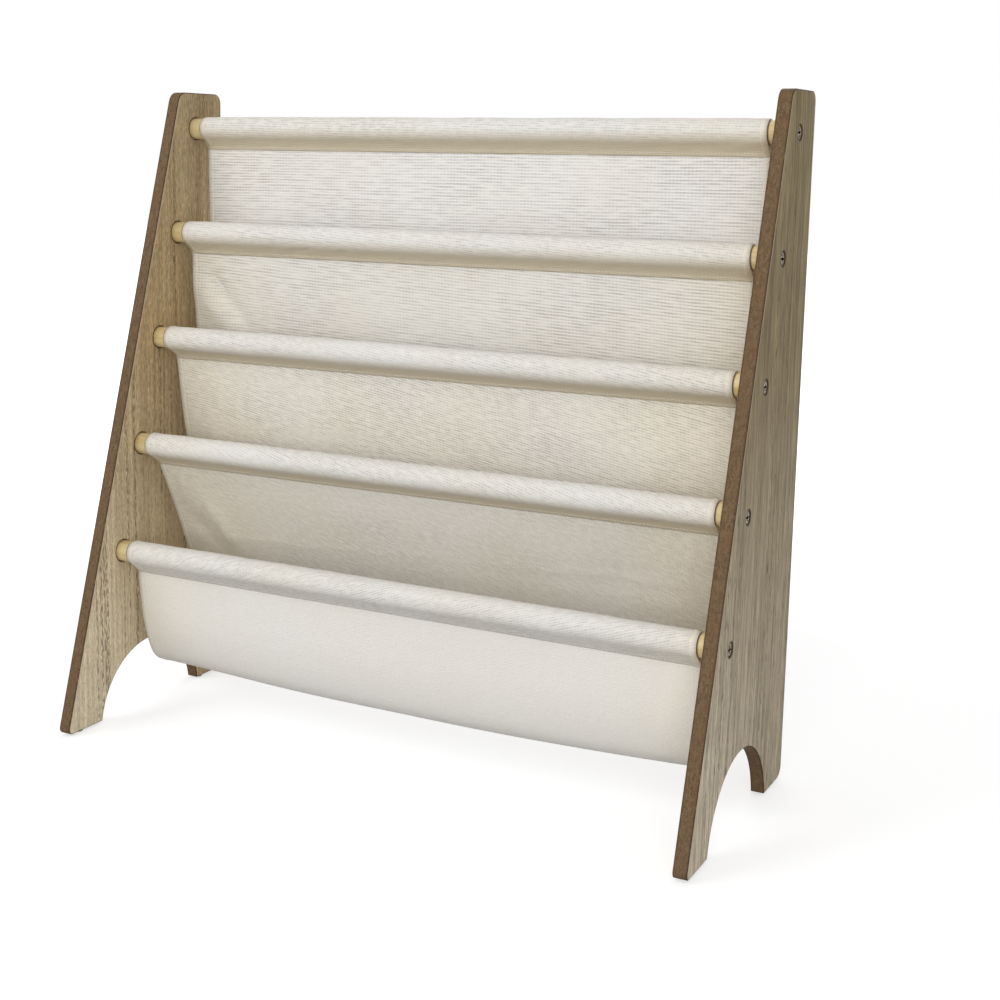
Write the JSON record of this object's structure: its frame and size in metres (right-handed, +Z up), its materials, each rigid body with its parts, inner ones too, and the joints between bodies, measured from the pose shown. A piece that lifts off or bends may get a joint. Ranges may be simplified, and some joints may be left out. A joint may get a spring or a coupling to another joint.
{
  "type": "sling bookshelf",
  "caption": "Low children's bookshelf: two tapered side panels with arched feet, joined by round rods that carry canvas slings as pockets for face-out books.",
  "frame": {"origin": "on the floor, under the middle of the shelf's bounding box", "axes": "+X to the shelf's right as seen from the front, +Y to its back, +Z up"},
  "size_m": [0.62, 0.2482, 0.602],
  "materials": {
    "panel": "matt wood-look faces with brown painted edges",
    "rod": "bare sanded pine",
    "screw": "dark zinc-plated",
    "glide": "matt",
    "canvas": "unbleached twill canvas"
  },
  "bodies": {
    "root": {"side_panel_left": "panel", "screw_left_1": "screw", "screw_left_2": "screw", "screw_left_3": "screw", "screw_left_4": "screw", "screw_left_5": "screw", "glide_left_front": "glide", "glide_left_back": "glide", "side_panel_right": "panel", "screw_right_1": "screw", "screw_right_2": "screw", "screw_right_3": "screw", "screw_right_4": "screw", "screw_right_5": "screw", "glide_right_front": "glide", "glide_right_back": "glide", "rod_1": "rod", "rod_2": "rod", "rod_3": "rod", "rod_4": "rod", "rod_5": "rod", "sling_1": "canvas", "sling_2": "canvas", "sling_3": "canvas", "sling_4": "canvas"}
  },
  "joints": []
}
